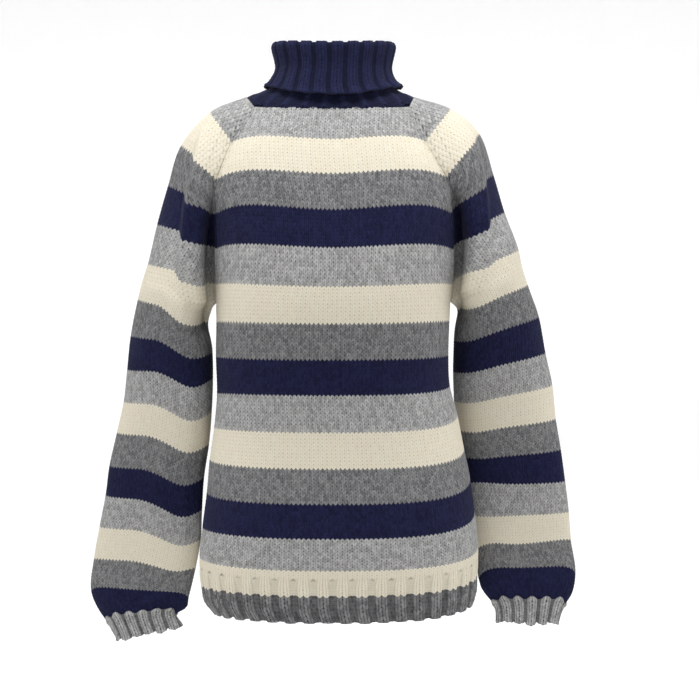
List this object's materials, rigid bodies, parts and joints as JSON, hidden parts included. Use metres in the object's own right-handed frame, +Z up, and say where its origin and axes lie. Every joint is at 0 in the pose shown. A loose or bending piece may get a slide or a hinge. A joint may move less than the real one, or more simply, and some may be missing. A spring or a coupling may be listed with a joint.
{
  "type": "raglan sweater",
  "caption": "Hand-knitted striped raglan pullover with a folded roll neck, long sleeves and ribbed hem and cuffs, filled out and hollow as it is worn.",
  "frame": {"origin": "middle of the neck at the height of the shoulders, where the wearer's shoulders and neck hold it", "axes": "+Z up, the front faces -Y, +X towards the wearer's left sleeve"},
  "size_m": [0.6512, 0.2364, 0.787],
  "materials": {
    "striped_wool": "matt stocking stitch in stripes of light grey, cream, dark grey and navy wool",
    "hem_rib_wool": "matt rib in dark grey wool under a few cream courses",
    "cuff_rib_wool": "matt rib in light grey wool",
    "navy_rib_wool": "matt rib in navy wool"
  },
  "bodies": {
    "root": {"front": "striped_wool", "back": "striped_wool", "sleeve_right": "striped_wool", "sleeve_left": "striped_wool", "hem_front": "hem_rib_wool", "hem_back": "hem_rib_wool", "cuff_right": "cuff_rib_wool", "cuff_left": "cuff_rib_wool", "collar": "navy_rib_wool"}
  },
  "joints": []
}
